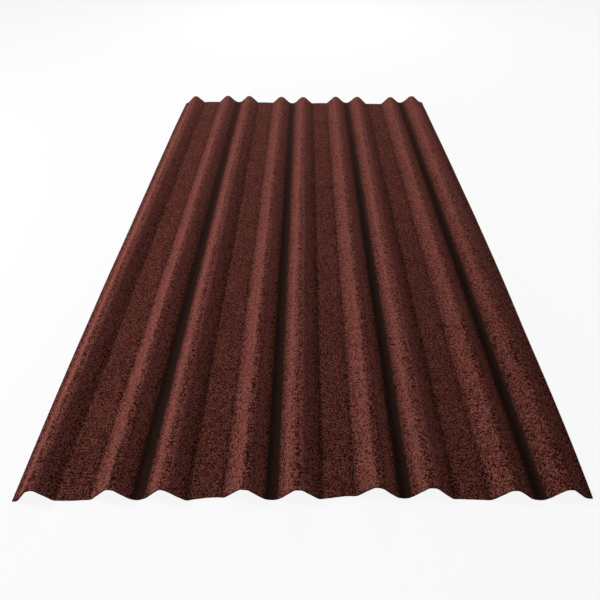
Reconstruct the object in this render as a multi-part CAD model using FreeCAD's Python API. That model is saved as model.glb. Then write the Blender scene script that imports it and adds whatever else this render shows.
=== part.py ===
import FreeCAD, Part
import math
import os

# Corrugated roofing underlay sheet, pressed from one piece of bitumen-soaked fibre board.
# X runs across the waves, Y along them, Z up. The origin is under the middle of the sheet,
# on the plane that the valleys rest on. Sizes are in mm, and radii are at mid-thickness.

sheet_length = 2000.0
sheet_thickness = 2.8
wave_height = 27.0  # from a valley up to a crest, on the same face
pair_count = 4  # a pair is one flat valley and one round valley, each with its crest
flat_pitch = 141.0  # from crest to crest over a flat valley
round_pitch = 94.0  # from crest to crest over a round valley
flat_width = 60.0  # level floor of a flat valley
crest_width = 5.0  # level strip along a crest
crest_radius = 12.0  # shoulders of a crest
corner_radius = 9.0  # where a flat valley's floor turns up into the flank
valley_radius = 26.0  # bottom of a round valley
edge_reach = 47.0  # from the outermost crest out to the side edge, which lies in a valley
least_slope = math.radians(2)  # of the valley's arc that is kept at a side edge
shortest_edge = 1e-6  # points nearer to each other than this are one point

flat_across = (flat_pitch - flat_width - crest_width) / 2  # from a crest's strip to the floor
round_across = (round_pitch - crest_width) / 2  # from a crest's strip to a valley's bottom


def radius_room(across):
    """Largest sum of a crest's radius and a valley's, over one flank of the wave."""
    return (across ** 2 + wave_height ** 2) / (2 * wave_height)


def crest_curve():
    """The crest's radius, made smaller where the wave has no room for it."""
    return min(crest_radius, radius_room(min(flat_across, round_across)) / 2)


def low_curve(radius, across):
    """A valley's radius, with what room the crest leaves for it."""
    return min(radius, radius_room(across) - crest_curve())


def flank_slope(radius, across):
    """Slope of the straight flank that touches the crest's arc and the valley's."""
    both = crest_curve() + low_curve(radius, across)
    rise = wave_height - both
    lean = math.asin(min(1.0, both / math.hypot(across, rise)))
    return lean + math.atan2(rise, across)


def flat_slope():
    return flank_slope(corner_radius, flat_across)


def round_slope():
    return flank_slope(valley_radius, round_across)


def edge_slope():
    """Slope that the sheet has where it ends at a side edge."""
    share = (round_pitch / 2 - edge_reach) / low_curve(valley_radius, round_across)
    slope = math.asin(max(-1.0, min(1.0, share)))
    return max(-round_slope(), min(round_slope() - least_slope, slope))


def crest_places():
    """X of every crest. Flat and round valleys take turns, and a flat one comes first."""
    places = [-pair_count * (flat_pitch + round_pitch) / 2]
    for _ in range(pair_count):
        places.append(places[-1] + flat_pitch)
        places.append(places[-1] + round_pitch)
    return places


def arc_between(x, z, radius, first, last):
    """Arc of the section, with its angles taken from straight up towards +X."""
    points = [
        FreeCAD.Vector(x + radius * math.sin(angle), 0, z + radius * math.cos(angle))
        for angle in (first, (first + last) / 2, last)
    ]
    return Part.Arc(*points).toShape()


def crest_arcs(x, offset, left, right):
    """Both shoulders of a crest, up from its flanks' slopes, on the face offset above the middle."""
    middle = sheet_thickness / 2 + wave_height - crest_curve()
    return [
        arc_between(x - crest_width / 2, middle, crest_curve() + offset, -left, 0),
        arc_between(x + crest_width / 2, middle, crest_curve() + offset, 0, right),
    ]


def valley_arc(x, offset, radius, first, last):
    """Part of a valley between two slopes, which are negative on the way down."""
    middle = sheet_thickness / 2 + radius
    return arc_between(x, middle, radius - offset, math.pi - first, math.pi - last)


def flat_valley(crest, offset):
    """The two corners of a flat valley, with its level floor between them."""
    radius = low_curve(corner_radius, flat_across)
    near_corner = crest + crest_width / 2 + flat_across
    far_corner = near_corner + flat_width
    return [
        valley_arc(near_corner, offset, radius, -flat_slope(), 0),
        valley_arc(far_corner, offset, radius, 0, flat_slope()),
    ]


def round_valley(bottom, offset, first, last):
    radius = low_curve(valley_radius, round_across)
    return [valley_arc(bottom, offset, radius, first, last)]


def face_line(offset):
    """One face of the sheet in section, from the -X edge to the +X edge."""
    crests = crest_places()
    flat, rounded, edge = flat_slope(), round_slope(), edge_slope()
    arcs = round_valley(crests[0] - round_pitch / 2, offset, edge, rounded)
    for number in range(pair_count):
        first, second = crests[2 * number], crests[2 * number + 1]
        arcs += crest_arcs(first, offset, rounded, flat)
        arcs += flat_valley(first, offset)
        arcs += crest_arcs(second, offset, flat, rounded)
        arcs += round_valley(second + round_pitch / 2, offset, -rounded, rounded)
    arcs += crest_arcs(crests[-1], offset, rounded, rounded)
    arcs += round_valley(crests[-1] + round_pitch / 2, offset, -rounded, -edge)
    return join_arcs(arcs)


def start_of(edge):
    return edge.valueAt(edge.FirstParameter)


def end_of(edge):
    return edge.valueAt(edge.LastParameter)


def join_arcs(arcs):
    """Adds the straight flanks and the level strips, wherever two arcs don't yet meet."""
    edges = arcs[:1]
    for arc in arcs[1:]:
        start, end = end_of(edges[-1]), start_of(arc)
        if start.distanceToPoint(end) > shortest_edge:
            edges.append(Part.LineSegment(start, end).toShape())
        edges.append(arc)
    return edges


def section_face():
    """Section of the sheet: both faces, closed by a short cut at each side edge."""
    upper = face_line(sheet_thickness / 2)
    lower = face_line(-sheet_thickness / 2)
    first_cut = Part.LineSegment(start_of(lower[0]), start_of(upper[0])).toShape()
    last_cut = Part.LineSegment(end_of(upper[-1]), end_of(lower[-1])).toShape()
    return Part.Face(Part.Wire(upper + [last_cut] + lower[::-1] + [first_cut]))


def corrugated_sheet():
    """The section, drawn out along the waves."""
    face = section_face()
    face.translate(FreeCAD.Vector(0, -sheet_length / 2, 0))
    return face.extrude(FreeCAD.Vector(0, sheet_length, 0))


os.makedirs("parts", exist_ok=True)
corrugated_sheet().exportStep("parts/corrugated_sheet.step")
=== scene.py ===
import math
import bpy
from mathutils import Matrix, Vector


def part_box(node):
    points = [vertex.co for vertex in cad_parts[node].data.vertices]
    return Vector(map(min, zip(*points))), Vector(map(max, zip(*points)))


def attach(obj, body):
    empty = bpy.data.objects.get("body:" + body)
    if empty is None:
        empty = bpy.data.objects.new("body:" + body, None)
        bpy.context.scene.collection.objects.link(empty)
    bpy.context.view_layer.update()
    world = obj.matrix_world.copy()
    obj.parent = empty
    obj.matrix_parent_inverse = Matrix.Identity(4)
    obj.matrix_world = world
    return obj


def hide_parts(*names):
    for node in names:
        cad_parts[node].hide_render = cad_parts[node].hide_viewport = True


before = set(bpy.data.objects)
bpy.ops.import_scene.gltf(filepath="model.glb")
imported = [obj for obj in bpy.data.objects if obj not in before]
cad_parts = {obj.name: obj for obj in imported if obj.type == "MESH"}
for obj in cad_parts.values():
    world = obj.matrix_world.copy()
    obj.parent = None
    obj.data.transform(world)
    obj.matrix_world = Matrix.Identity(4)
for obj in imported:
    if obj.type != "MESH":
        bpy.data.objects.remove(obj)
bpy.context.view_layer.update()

sheetLow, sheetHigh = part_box("corrugated_sheet")
print("frame loaded")


# Small helpers for building node trees

def feed(tree, socket, value):
    if isinstance(value, NodeNumber):
        value = value.socket
    if isinstance(value, bpy.types.NodeSocket):
        tree.links.new(value, socket)
    else:
        socket.default_value = value


def addNode(tree, kind, inputs=None, **settings):
    node = tree.nodes.new(kind)
    for name, value in settings.items():
        setattr(node, name, value)
    for name, value in (inputs or {}).items():
        feed(tree, node.inputs[name], value)
    return node


class NodeNumber:
    # a number worked out by the tree, so that a rule made of nodes reads as a formula

    def __init__(self, tree, socket):
        self.tree = tree
        self.socket = socket

    def calc(self, operation, *others):
        node = addNode(self.tree, "ShaderNodeMath", operation=operation)
        for socket, value in zip(node.inputs, (self,) + others):
            feed(self.tree, socket, value)
        return NodeNumber(self.tree, node.outputs[0])

    def __add__(self, other):
        return self.calc("ADD", other)

    def __sub__(self, other):
        return self.calc("SUBTRACT", other)

    def __mul__(self, other):
        return self.calc("MULTIPLY", other)

    def __truediv__(self, other):
        return self.calc("DIVIDE", other)

    def squared(self):
        return self * self

    def root(self):
        return self.calc("SQRT")

    def smaller(self, other):
        return self.calc("MINIMUM", other)

    def larger(self, other):
        return self.calc("MAXIMUM", other)

    def below(self, other):
        return self.calc("LESS_THAN", other)  # 1 or 0

    def over(self, other):
        return self.calc("GREATER_THAN", other)

    def either(self, first, second):
        return first + (second - first) * self  # first where this is 0, second where it is 1


def noiseNumber(tree, place, scale, seed, detail=1.0, roughness=0.5):
    # smooth noise, about -1 to 1, its scale per metre
    noise = addNode(tree, "ShaderNodeTexNoise", {
        "Vector": place, "W": seed, "Scale": scale, "Detail": detail, "Roughness": roughness,
    }, noise_dimensions="4D")
    return (NodeNumber(tree, noise.outputs["Fac"]) - 0.5) * 2.0


# Sheet: one board, pressed into flat and round valleys in turns

sheetShape = {
    "Length": sheetHigh[1] - sheetLow[1],
    "Thickness": 0.0028,
    "Wave height": 0.027,
    "Pair count": 4,  # one flat and one round valley make a pair
    "Flat pitch": 0.141,  # from crest to crest, over a flat valley
    "Round pitch": 0.094,
    "Flat width": 0.060,
    "Crest width": 0.005,  # level strip along a crest
    "Crest radius": 0.012,  # radii are at mid-thickness
    "Corner radius": 0.009,  # where a flat floor turns up
    "Valley radius": 0.026,
    "Crown": 0.0008,  # how much higher the middle of a flat floor is than its two foot lines
    "Crown edge": 0.009,  # width over which it rises from them
    "Edge reach": 0.047,  # from the outermost crest to the side edge
    "Sag": 0.035,  # how much lower the waves are in places, as a share of their height
    "Sag scale": 4.0,
    "Wander": 0.0015,  # how far the waves stray sideways
    "Wander scale": 2.2,
    "Ragged": 0.0011,  # of the cut ends
    "Ragged scale": 90.0,
    "Ragged detail": 3.0,
    "End grip": 12.0,  # the higher, the fewer rows of the mesh move with a cut end
    "Wander seed": 5.0,
    "Sag seed": 8.0,
    "Ragged seed": 16.0,
    "Column step": 0.00294,  # size of the mesh, across and along the waves
    "Row step": 0.0182,
    "Weld": 0.00001,  # points nearer to each other are one
    "Crisp angle": math.radians(50),
}
edgeLines = {
    # (place along the edge, how far outwards of straight it runs there), set
    # from measured gaps to the photograph's outline and rounded to 0.5 mm
    "near": ((-0.517, 0.0065), (-0.49, 0.0075), (-0.455, 0.003), (-0.41, 0.005), (-0.34, 0.0015),
             (-0.30, 0.0035), (-0.25, 0.0), (-0.22, 0.0045), (-0.14, -0.0025), (-0.07, 0.002),
             (0.035, 0.0005), (0.105, -0.006), (0.175, -0.001), (0.215, -0.0035), (0.26, -0.001),
             (0.35, 0.002), (0.517, -0.0015)),
    "far": ((-0.517, 0.005), (-0.40, 0.023), (-0.29, 0.021), (-0.18, 0.013), (-0.04, 0.002),
            (0.08, -0.001), (0.19, 0.004), (0.32, -0.015), (0.42, 0.002), (0.517, 0.004)),
    "left": ((-1.0, -0.0135), (-0.5, -0.0055), (0.0, -0.004), (0.4, -0.0025), (0.8, -0.0025),
             (1.0, -0.0045)),
    "right": ((-1.0, -0.002), (-0.93, 0.001), (-0.85, 0.0035), (-0.5, 0.0085), (-0.15, 0.0115),
              (0.1, 0.010), (0.5, 0.007), (0.75, 0.0035), (1.0, 0.0005)),
    "most": 0.03,  # more than the largest of these
}
sheetMarks = {  # where the paint is lighter, partly from wearing and partly as a painted highlight, and where painted shade lies
    "Wearing and highlight start": 0.001,  # height over the valleys where the lighter paint, partly wearing and partly painted highlight, begins
    "Wearing and highlight full": 0.014,  # and where it is full
    "Shoulder": 0.005,  # the lightest line beside a crest's strip, partly rubbed paint and partly a painted highlight
    "Round shoulder": 0.017,  # the same at the near end, towards a round valley
    "Shoulder width": 0.007,
    # painted highlight, with some rubbed paint, along the shoulder line
    "Shoulder wearing and highlight": 0.6,
    "Top without wearing and highlight": 0.7,  # share of the way from a crest's middle to its shoulder that has less of the rubbed paint and painted highlight, most at the near end
    "Top without wearing and highlight fade": 0.003,  # and this much further
    "Painted corner shade": 0.9,  # painted shade: how much of the lighter paint the near right corner loses
    "Painted shade corner x": 0.24,  # where that corner begins
    "Painted shade corner y": 0.2,
    "Painted shade corner fade": 0.26,
    "Painted shade reach": 0.0150,  # half width of the painted shade in the bottom of a round valley
    "Painted shade fade": 0.005,  # width of its soft edge
    "Painted shade spread": 0.010,  # how much wider that edge is at the far end
    "Painted foot shade": 0.4,  # painted shade along the foot of a flank
    "Foot width": 0.005,
    "Painted shade loss far": 0.3,  # how much of the painted shade is gone at the far end
}


def sheetInputs(tree):
    values = {}
    numbers = dict(sheetShape, **sheetMarks)
    for name, value in numbers.items():
        kind = "NodeSocketInt" if isinstance(value, int) else "NodeSocketFloat"
        tree.interface.new_socket(name=name, in_out="INPUT", socket_type=kind)
    for name in ("Face", "Back", "Cut edge"):
        tree.interface.new_socket(name=name, in_out="INPUT", socket_type="NodeSocketMaterial")
    tree.interface.new_socket(name="Sheet", in_out="OUTPUT", socket_type="NodeSocketGeometry")
    given = tree.nodes.new("NodeGroupInput")
    for name in numbers:
        values[name] = NodeNumber(tree, given.outputs[name])
    return values, given


def flatBoard(tree, size):
    # a level slab, its lower face at 0 and its upper one at the board's thickness
    halfSpan = size["Pair count"] * (size["Flat pitch"] + size["Round pitch"]) * 0.5
    width = (halfSpan + size["Edge reach"]) * 2.0
    grid = addNode(tree, "GeometryNodeMeshGrid", {
        "Size X": width,
        "Size Y": size["Length"],
        "Vertices X": (width / size["Column step"]).calc("ROUND") + 1.0,
        "Vertices Y": (size["Length"] / size["Row step"]).calc("ROUND") + 1.0,
    })
    up = addNode(tree, "ShaderNodeCombineXYZ", {"Z": size["Thickness"]})
    raised = addNode(tree, "GeometryNodeExtrudeMesh", {
        "Mesh": grid.outputs["Mesh"], "Offset": up.outputs[0], "Individual": False,
    }, mode="FACES")
    walls = addNode(tree, "GeometryNodeStoreNamedAttribute", {
        "Geometry": raised.outputs["Mesh"], "Name": "cutEdge", "Value": raised.outputs["Side"],
    }, data_type="BOOLEAN", domain="FACE")
    turned = addNode(tree, "GeometryNodeFlipFaces", {"Mesh": grid.outputs["Mesh"]})
    back = addNode(tree, "GeometryNodeStoreNamedAttribute", {
        "Geometry": turned.outputs["Mesh"], "Name": "back", "Value": True,
    }, data_type="BOOLEAN", domain="FACE")
    both = addNode(tree, "GeometryNodeJoinGeometry")
    for part in (walls, back):
        tree.links.new(part.outputs["Geometry"], both.inputs[0])
    return addNode(tree, "GeometryNodeMergeByDistance", {
        "Geometry": both.outputs[0], "Distance": size["Weld"],
    }).outputs[0], halfSpan


def waveRule(size, x, halfSpan):
    # height of mid-thickness over the valleys, the sideways lean of the board's normal,
    # and what the marks need to know of the place
    beyond = x.over(halfSpan)  # the last strip is the first one, mirrored
    mirror = beyond * -2.0 + 1.0
    pairPitch = size["Flat pitch"] + size["Round pitch"]
    along = (x * mirror + halfSpan).calc("FLOORED_MODULO", pairPitch)
    rounded = along.over(size["Flat pitch"])
    place = along - size["Flat pitch"] * rounded
    pitch = rounded.either(size["Flat pitch"], size["Round pitch"])
    flatAcross = (size["Flat pitch"] - size["Flat width"]) * 0.5
    across = rounded.either(flatAcross, size["Round pitch"] * 0.5) - size["Crest width"] * 0.5
    lowRadius = rounded.either(size["Corner radius"], size["Valley radius"])
    crestRadius = size["Crest radius"]
    side = ((pitch * 0.5 - place).calc("SIGN")) * mirror

    fromStrip = place.smaller(pitch - place) - size["Crest width"] * 0.5
    fromCrest = fromStrip.larger(0.0).smaller(across)
    fromLow = across - fromCrest
    radii = crestRadius + lowRadius
    rise = size["Wave height"] - radii
    reach = (across.squared() + rise.squared()).root()
    steep = (radii / reach).calc("ARCSINE") + rise.calc("ARCTAN2", across)
    sine = steep.calc("SINE")
    tangent = steep.calc("TANGENT")
    crestShare = fromCrest.smaller(crestRadius * sine)
    lowShare = fromLow.smaller(lowRadius * sine)

    top = size["Wave height"] - crestRadius
    crestSide = (crestRadius.squared() - crestShare.squared()).root() + top
    crestSide = crestSide - (fromCrest - crestShare) * tangent
    lowSide = lowRadius - (lowRadius.squared() - lowShare.squared()).root()
    lowSide = lowSide + (fromLow - lowShare) * tangent
    flank = top + crestRadius * steep.calc("COSINE") - (fromCrest - crestRadius * sine) * tangent
    fromFoot = fromStrip - across
    onFloor = (fromFoot / size["Crown edge"]).larger(0.0).smaller(1.0)
    crown = onFloor.squared() * (onFloor * -2.0 + 3.0) * size["Crown"]
    height = crestSide + lowSide - flank + crown
    lean = (crestShare / crestRadius).smaller(lowShare / lowRadius) * side
    spot = {"rounded": rounded, "fromStrip": fromStrip, "fromLow": fromLow, "fromFoot": fromFoot}
    return height, lean, spot


def wearAndHighlightRule(size, x, y, height, spot):
    # lighter paint, partly wearing and partly a painted highlight: full on the flanks and strongest along
    # a line beside each crest
    nearness = y / size["Length"] * -1.0 + 0.5  # 1 at the near end, 0 at the far one
    roundShoulder = nearness.either(size["Shoulder"], size["Round shoulder"])
    shoulder = spot["rounded"].either(size["Shoulder"], roundShoulder)
    wearAndHighlight = (height - size["Wearing and highlight start"]) / (size["Wearing and highlight full"] - size["Wearing and highlight start"])
    wearAndHighlight = wearAndHighlight.larger(0.0).smaller(1.0)
    fromMiddle = spot["fromStrip"] + size["Crest width"] * 0.5
    topWithoutWearingAndHighlight = shoulder * size["Top without wearing and highlight"] + size["Top without wearing and highlight fade"]
    onTop = (fromMiddle / topWithoutWearingAndHighlight).smaller(1.0) * -1.0 + 1.0
    wearAndHighlight = wearAndHighlight * (onTop * nearness * -1.0 + 1.0)
    fromShoulder = (spot["fromStrip"] - shoulder).calc("ABSOLUTE") / size["Shoulder width"]
    wearAndHighlight = wearAndHighlight + (fromShoulder * -1.0 + 1.0).larger(0.0) * size["Shoulder wearing and highlight"]
    # painted shade: the near right corner keeps less of the lighter paint and painted highlight
    paintedCornerShade = ((x - size["Painted shade corner x"]) / size["Painted shade corner fade"]).larger(0.0)
    paintedCornerShade = paintedCornerShade * (y * -1.0 + size["Painted shade corner y"]).larger(0.0)
    return wearAndHighlight * (paintedCornerShade.smaller(1.0) * size["Painted corner shade"] * -1.0 + 1.0)


def paintedShadeRule(size, x, y, halfSpan, spot):
    # painted shade along the bottom of the round valleys and the feet of the flanks, lighter towards the
    # far end
    farness = y / size["Length"] + 0.5
    spread = farness * size["Painted shade spread"]
    paintedShade = (spread * 0.5 + size["Painted shade reach"] - spot["fromLow"]) / (spread + size["Painted shade fade"])
    paintedShade = paintedShade.larger(0.0).smaller(1.0)
    paintedShade = paintedShade * spot["rounded"] * x.calc("ABSOLUTE").below(halfSpan)
    foot = spot["fromFoot"].calc("ABSOLUTE") / size["Foot width"] * -1.0 + 1.0
    foot = foot.larger(0.0) * (spot["rounded"] * -1.0 + 1.0) * size["Painted foot shade"]
    kept = (y / size["Length"]).larger(0.0) * size["Painted shade loss far"] * -2.0 + 1.0
    return (paintedShade + foot) * kept


def edgeShift(tree, place, name):
    # a smooth line through an edge's points, read off at the place
    points = edgeLines[name]
    start, span, swing = points[0][0], points[-1][0] - points[0][0], edgeLines["most"] * 2
    curve = addNode(tree, "ShaderNodeFloatCurve", {"Value": (place - start) / span})
    spots = [((along - start) / span, out / swing + 0.5) for along, out in points]
    line = curve.mapping.curves[0].points
    line[0].location = spots[0]
    line[1].location = spots[-1]
    for spot in spots[1:-1]:
        line.new(*spot)
    curve.mapping.update()
    return (NodeNumber(tree, curve.outputs[0]) - 0.5) * swing


def sideShift(tree, size, x, y, halfSpan):
    # only the strips beyond the outermost crests follow the side edges
    strip = (x.calc("ABSOLUTE") - halfSpan).larger(0.0) / size["Edge reach"]
    left = edgeShift(tree, y, "left") * -1.0
    return x.over(0.0).either(left, edgeShift(tree, y, "right")) * strip


def shapedSheet(tree, size, board, halfSpan):
    position = addNode(tree, "GeometryNodeInputPosition")
    split = addNode(tree, "ShaderNodeSeparateXYZ", {"Vector": position.outputs[0]})
    x, y, z = (NodeNumber(tree, socket) for socket in split.outputs)
    flatPlace = addNode(tree, "ShaderNodeCombineXYZ", {"X": x, "Y": y}).outputs[0]
    endwise = addNode(tree, "ShaderNodeCombineXYZ", {"X": x, "Y": y.calc("SIGN")}).outputs[0]

    wander = noiseNumber(tree, flatPlace, size["Wander scale"], size["Wander seed"]) * size["Wander"]
    height, lean, spot = waveRule(size, x, halfSpan)
    # the lighter paint mark, partly a painted highlight, and the painted shade, kept on the points for
    # the face
    marks = {
        "wearAndHighlight": wearAndHighlightRule(size, x, y, height, spot),
        "paintedShade": paintedShadeRule(size, x, y, halfSpan, spot),
    }
    for name, amount in marks.items():
        board = addNode(tree, "GeometryNodeStoreNamedAttribute", {
            "Geometry": board, "Name": name, "Value": amount,
        }, data_type="FLOAT", domain="POINT").outputs[0]
    sag = noiseNumber(tree, flatPlace, size["Sag scale"], size["Sag seed"])
    height = height * (sag.calc("ABSOLUTE") * size["Sag"] * -1.0 + 1.0)
    offset = z - size["Thickness"] * 0.5
    upright = (lean.squared() * -1.0 + 1.0).root()

    atEnd = (y / size["Length"] * 2.0).calc("ABSOLUTE").calc("POWER", size["End grip"])
    near = edgeShift(tree, x, "near") * -1.0
    far = edgeShift(tree, x, "far")
    ragged = noiseNumber(tree, endwise, size["Ragged scale"], size["Ragged seed"],
                         size["Ragged detail"]) * size["Ragged"]
    newX = x + wander + sideShift(tree, size, x, y, halfSpan) + lean * offset
    newY = y + (y.over(0.0).either(near, far) + ragged) * atEnd
    newZ = height + size["Thickness"] * 0.5 + upright * offset
    place = addNode(tree, "ShaderNodeCombineXYZ", {"X": newX, "Y": newY, "Z": newZ})
    return addNode(tree, "GeometryNodeSetPosition", {
        "Geometry": board, "Position": place.outputs[0],
    }).outputs[0]


def crispEdges(tree, size, geometry):
    # smooth waves, with a crisp line round the cut edges
    smooth = addNode(tree, "GeometryNodeSetShadeSmooth", {"Geometry": geometry}, domain="FACE")
    angle = addNode(tree, "GeometryNodeInputMeshEdgeAngle")
    sharp = NodeNumber(tree, angle.outputs["Unsigned Angle"]).over(size["Crisp angle"])
    return addNode(tree, "GeometryNodeSetShadeSmooth", {
        "Geometry": smooth.outputs[0], "Selection": sharp, "Shade Smooth": False,
    }, domain="EDGE").outputs[0]


def finishedSheet(tree, given, geometry):
    geometry = addNode(tree, "GeometryNodeRealizeInstances", {"Geometry": geometry}).outputs[0]
    geometry = addNode(tree, "GeometryNodeSetMaterial", {
        "Geometry": geometry, "Material": given.outputs["Face"],
    }).outputs[0]
    for attribute, name in (("back", "Back"), ("cutEdge", "Cut edge")):
        chosen = addNode(tree, "GeometryNodeInputNamedAttribute", {"Name": attribute},
                         data_type="BOOLEAN")
        geometry = addNode(tree, "GeometryNodeSetMaterial", {
            "Geometry": geometry, "Selection": chosen.outputs["Attribute"],
            "Material": given.outputs[name],
        }).outputs[0]
    return geometry


def buildSheetTree():
    tree = bpy.data.node_groups.new("corrugated sheet", "GeometryNodeTree")
    size, given = sheetInputs(tree)
    board, halfSpan = flatBoard(tree, size)
    shaped = shapedSheet(tree, size, board, halfSpan)
    result = finishedSheet(tree, given, crispEdges(tree, size, shaped))
    out = tree.nodes.new("NodeGroupOutput")
    tree.links.new(result, out.inputs["Sheet"])
    return tree


def plainMesh(piece):
    # the modifier's result, kept as the piece's own mesh
    graph = bpy.context.evaluated_depsgraph_get()
    mesh = bpy.data.meshes.new_from_object(piece.evaluated_get(graph), depsgraph=graph,
                                           preserve_all_data_layers=True)
    piece.modifiers.clear()
    piece.data = mesh
    mesh.name = piece.name


def makeSheet(materials):
    piece = bpy.data.objects.new("pressed_sheet", bpy.data.meshes.new("pressed_sheet"))
    bpy.context.scene.collection.objects.link(piece)
    tree = buildSheetTree()
    modifier = piece.modifiers.new("corrugated sheet", "NODES")
    modifier.node_group = tree
    values = dict(sheetShape, **sheetMarks, **materials)
    for item in tree.interface.items_tree:
        if item.in_out == "INPUT":
            modifier[item.identifier] = values[item.name]
    plainMesh(piece)
    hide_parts("corrugated_sheet")
    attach(piece, "root")
    return piece


# Finishes

faceFinish = {
    "bitumen": (0.015, 0.0050, 0.0026, 1),
    "dark": (0.061, 0.0135, 0.0072, 1),
    "redBrown": (0.134, 0.0295, 0.0165, 1),
    # pale paint, reached where paint is rubbed and where the mark paints a highlight
    "wornAndHighlight": (0.280, 0.091, 0.078, 1),
    "places": (0.32, 0.44, 0.58, 0.80),  # of these four, along the ramp
    "grain": {"scale": 560.0, "seed": 1.0, "detail": 0.5, "roughness": 0.6},
    "clump": {"scale": 250.0, "seed": 2.0, "detail": 1.0, "roughness": 0.6},
    "patch": {"scale": 14.0, "seed": 3.0, "detail": 3.0, "roughness": 0.6},
    "fleck": {"scale": 120.0, "seed": 4.0, "detail": 0.0, "roughness": 0.5},
    "shares": {"grain": 1.24, "clump": 0.84, "fleck": 0.2, "patch": 0.1, "wearAndHighlight": 0.18},
    # colour of the painted shade in the round valleys and along the flank feet
    "paintedShade": (0.026, 0.0150, 0.0112, 1),
    "paintedShadeCover": 0.80,
    "paintedShadeSpeckle": 1.0,
    "grainDepth": 0.0012,
    "grainRelief": 0.6,  # share of the grain in the relief, and the rest is clumps
    "roughness": 0.81,
    "roughChange": 0.1,
    "gloss": 0.01,
}
backFinish = {
    "dark": (0.010, 0.007, 0.006, 1),
    "light": (0.045, 0.028, 0.022, 1),
    "places": (0.25, 0.85),
    "fibre": {"scale": 260.0, "seed": 5.0, "detail": 4.0, "roughness": 0.65},
    "patch": {"scale": 9.0, "seed": 6.0, "detail": 3.0, "roughness": 0.6},
    "shares": {"fibre": 0.4, "patch": 0.35, "weave": 0.06},
    "meshPitch": 0.0032,  # of the wire that the wet board was pressed on
    "imprint": 0.4,
    "imprintDepth": 0.0003,
    "roughness": 0.8,
    "roughChange": 0.1,
    "gloss": 0.25,
}
cutFinish = {
    "dark": (0.008, 0.005, 0.004, 1),
    "light": (0.060, 0.034, 0.025, 1),
    "places": (0.2, 0.9),
    "fibre": {"scale": 700.0, "seed": 8.0, "detail": 4.0, "roughness": 0.7},
    "fibreShare": 0.6,
    "middle": 0.4,
    "fibreDepth": 0.0004,
    "roughness": 0.92,
    "roughChange": 0.06,
    "gloss": 0.1,
}


def newMaterial(name):
    material = bpy.data.materials.new(name)
    material.use_nodes = True
    tree = material.node_tree
    return material, tree, tree.nodes["Principled BSDF"]


def objectPlace(tree):
    return addNode(tree, "ShaderNodeTexCoord").outputs["Object"]


def patternNumber(tree, place, pattern):
    return noiseNumber(tree, place, pattern["scale"], pattern["seed"],
                       pattern["detail"], pattern["roughness"])


def reliefBump(tree, shader, height, depth):
    bump = addNode(tree, "ShaderNodeBump", {"Height": height, "Distance": depth, "Strength": 1.0})
    tree.links.new(bump.outputs[0], shader.inputs["Normal"])


def colourRamp(tree, fac, stops):
    ramp = addNode(tree, "ShaderNodeValToRGB", {"Fac": fac})
    stops = list(stops)
    elements = ramp.color_ramp.elements
    while len(elements) < len(stops):
        elements.new(0.5)
    for element, (place, colour) in zip(elements, stops):
        element.position = place
        element.color = colour
    return ramp.outputs["Color"]


def mixColour(tree, share, first, second):
    mix = addNode(tree, "ShaderNodeMix", data_type="RGBA", clamp_factor=True)
    feed(tree, mix.inputs["Factor"], share)
    colourSockets = [socket for socket in mix.inputs if socket.type == "RGBA"]
    for socket, colour in zip(colourSockets, (first, second)):
        feed(tree, socket, colour)
    return next(socket for socket in mix.outputs if socket.type == "RGBA")


def markNumber(tree, name):
    mark = addNode(tree, "ShaderNodeAttribute", attribute_name=name)
    return NodeNumber(tree, mark.outputs["Fac"])


def paintedFace():
    look = faceFinish
    shares = look["shares"]
    material, tree, shader = newMaterial("red brown board face")
    place = objectPlace(tree)
    grain, clump, patch, fleck = (
        patternNumber(tree, place, look[name]) for name in ("grain", "clump", "patch", "fleck")
    )
    mixed = grain * shares["grain"] + clump * shares["clump"] + fleck * shares["fleck"]
    # the lighter paint mark, partly a painted highlight, pushes the ramp towards the pale paint
    mixed = mixed + patch * shares["patch"] + markNumber(tree, "wearAndHighlight") * shares["wearAndHighlight"] + 0.5
    paints = (look["bitumen"], look["dark"], look["redBrown"], look["wornAndHighlight"])
    colour = colourRamp(tree, mixed, zip(look["places"], paints))
    # painted shade: a dark, speckled colour laid over the paint in the round valley bottoms and along the
    # flank feet
    paintedShade = markNumber(tree, "paintedShade") * ((clump + grain) * look["paintedShadeSpeckle"] + look["paintedShadeCover"])
    colour = mixColour(tree, paintedShade, colour, look["paintedShade"])
    tree.links.new(colour, shader.inputs["Base Color"])
    relief = grain * look["grainRelief"] + clump * (1 - look["grainRelief"])
    reliefBump(tree, shader, relief, look["grainDepth"])
    feed(tree, shader.inputs["Roughness"], mixed * look["roughChange"] + look["roughness"])
    shader.inputs["Specular IOR Level"].default_value = look["gloss"]
    return material


def bareBack():
    look = backFinish
    shares = look["shares"]
    material, tree, shader = newMaterial("bare board back")
    place = objectPlace(tree)
    split = addNode(tree, "ShaderNodeSeparateXYZ", {"Vector": place})
    turn = math.tau / look["meshPitch"]
    weave = (NodeNumber(tree, split.outputs["X"]) * turn).calc("SINE")
    weave = weave + (NodeNumber(tree, split.outputs["Y"]) * turn).calc("SINE")
    fibre = patternNumber(tree, place, look["fibre"])
    patch = patternNumber(tree, place, look["patch"])
    mixed = fibre * shares["fibre"] + patch * shares["patch"] + weave * shares["weave"] + 0.5
    colour = colourRamp(tree, mixed, zip(look["places"], (look["dark"], look["light"])))
    tree.links.new(colour, shader.inputs["Base Color"])
    reliefBump(tree, shader, weave * look["imprint"] + fibre, look["imprintDepth"])
    feed(tree, shader.inputs["Roughness"], fibre * look["roughChange"] + look["roughness"])
    shader.inputs["Specular IOR Level"].default_value = look["gloss"]
    return material


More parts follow.
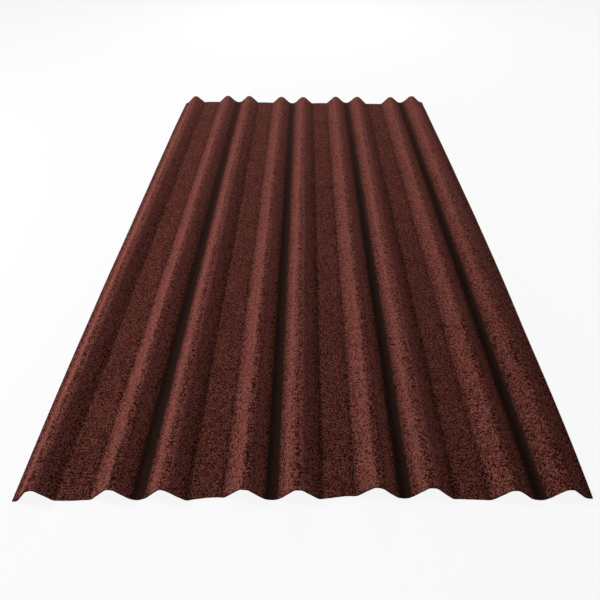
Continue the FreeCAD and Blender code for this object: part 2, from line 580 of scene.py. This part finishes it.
def cutEdge():
    look = cutFinish
    material, tree, shader = newMaterial("cut board edge")
    fibre = patternNumber(tree, objectPlace(tree), look["fibre"])
    mixed = fibre * look["fibreShare"] + look["middle"]
    colour = colourRamp(tree, mixed, zip(look["places"], (look["dark"], look["light"])))
    tree.links.new(colour, shader.inputs["Base Color"])
    reliefBump(tree, shader, fibre, look["fibreDepth"])
    feed(tree, shader.inputs["Roughness"], fibre * look["roughChange"] + look["roughness"])
    shader.inputs["Specular IOR Level"].default_value = look["gloss"]
    return material


sheet = makeSheet({"Face": paintedFace(), "Back": bareBack(), "Cut edge": cutEdge()})
print("sheet made,", len(sheet.data.polygons), "faces")


# Floor and world

floorLook = {"reach": 14.0, "colour": (0.92, 0.92, 0.92, 1), "whiteShare": 0.9}
worldLook = {"ambient": 0.15}


def seenDirectly(tree):
    # 1 for what the camera sees, straight or in a gloss, and 0 for the light on the object
    path = addNode(tree, "ShaderNodeLightPath")
    camera = NodeNumber(tree, path.outputs["Is Camera Ray"])
    glossy = NodeNumber(tree, path.outputs["Is Glossy Ray"])
    through = NodeNumber(tree, path.outputs["Is Transmission Ray"])
    return camera.larger(glossy).larger(through)


def makeFloor():
    reach = floorLook["reach"]
    mesh = bpy.data.meshes.new("studio floor")
    corners = [(-reach, -reach, 0), (reach, -reach, 0), (reach, reach, 0), (-reach, reach, 0)]
    mesh.from_pydata(corners, [], [(0, 1, 2, 3)])
    floor = bpy.data.objects.new("studio floor", mesh)
    bpy.context.scene.collection.objects.link(floor)
    material, tree, shader = newMaterial("pale floor")
    shader.inputs["Base Color"].default_value = floorLook["colour"]
    shader.inputs["Roughness"].default_value = 1.0
    shader.inputs["Specular IOR Level"].default_value = 0.0
    white = addNode(tree, "ShaderNodeEmission", {"Color": (1, 1, 1, 1), "Strength": 1.0})
    mix = addNode(tree, "ShaderNodeMixShader", {
        "Fac": seenDirectly(tree) * floorLook["whiteShare"],
    })
    tree.links.new(shader.outputs[0], mix.inputs[1])
    tree.links.new(white.outputs[0], mix.inputs[2])
    tree.links.new(mix.outputs[0], tree.nodes["Material Output"].inputs["Surface"])
    mesh.materials.append(material)


def makeWorld():
    world = bpy.data.worlds.new("studio")
    world.use_nodes = True
    bpy.context.scene.world = world
    tree = world.node_tree
    ambient = worldLook["ambient"]
    background = tree.nodes["Background"]
    background.inputs["Color"].default_value = (1, 1, 1, 1)
    strength = seenDirectly(tree) * (1 - ambient) + ambient
    feed(tree, background.inputs["Strength"], strength)


makeFloor()
makeWorld()
print("floor and world made")


# Lamps

lamps = {
    "high left": {"place": (-2.62, 0.0, 1.84), "width": 0.4, "height": 0.4, "watts": 59},
    "near left": {"place": (-1.95, -0.90, 0.50), "width": 0.25, "height": 0.25, "watts": 9},
    "right": {"place": (2.65, 0.50, 1.65), "width": 0.5, "height": 0.5, "watts": 8},
    "back": {"place": (0.0, 3.0, 1.3), "width": 0.5, "height": 0.4, "watts": 33},
}


def makeLamp(name, look):
    light = bpy.data.lights.new(name, "AREA")
    light.shape = "RECTANGLE"
    light.size = look["width"]
    light.size_y = look["height"]
    light.energy = look["watts"]
    lamp = bpy.data.objects.new(name, light)
    place = Vector(look["place"])
    lamp.matrix_world = Matrix.Translation(place) @ (-place).to_track_quat("-Z", "Y").to_matrix().to_4x4()
    lamp.visible_camera = False
    bpy.context.scene.collection.objects.link(lamp)


for name, look in lamps.items():
    makeLamp(name, look)
print("lamps made")


# Camera

cameraLook = {
    "place": (0.0165, -1.6451, 0.9271),
    "focal": 610.9,  # in pixels of the photograph, which is 600 wide
    "frame": 600,
    "sensor": 36,  # width in mm
    "down": 37.11,  # this and the next two in degrees
    "turn": -0.859,  # to the right
    "roll": -0.637,
}


def makeCamera():
    look = cameraLook
    data = bpy.data.cameras.new("camera")
    data.sensor_width = look["sensor"]
    data.lens = look["focal"] / look["frame"] * data.sensor_width
    camera = bpy.data.objects.new("camera", data)
    turn = Matrix.Rotation(-math.radians(look["turn"]), 4, "Z")
    tip = Matrix.Rotation(math.radians(90 - look["down"]), 4, "X")
    roll = Matrix.Rotation(math.radians(look["roll"]), 4, "Z")
    camera.matrix_world = Matrix.Translation(look["place"]) @ turn @ tip @ roll
    bpy.context.scene.collection.objects.link(camera)
    bpy.context.scene.camera = camera
    bpy.context.scene.view_settings.view_transform = "Standard"


makeCamera()
print("camera made")
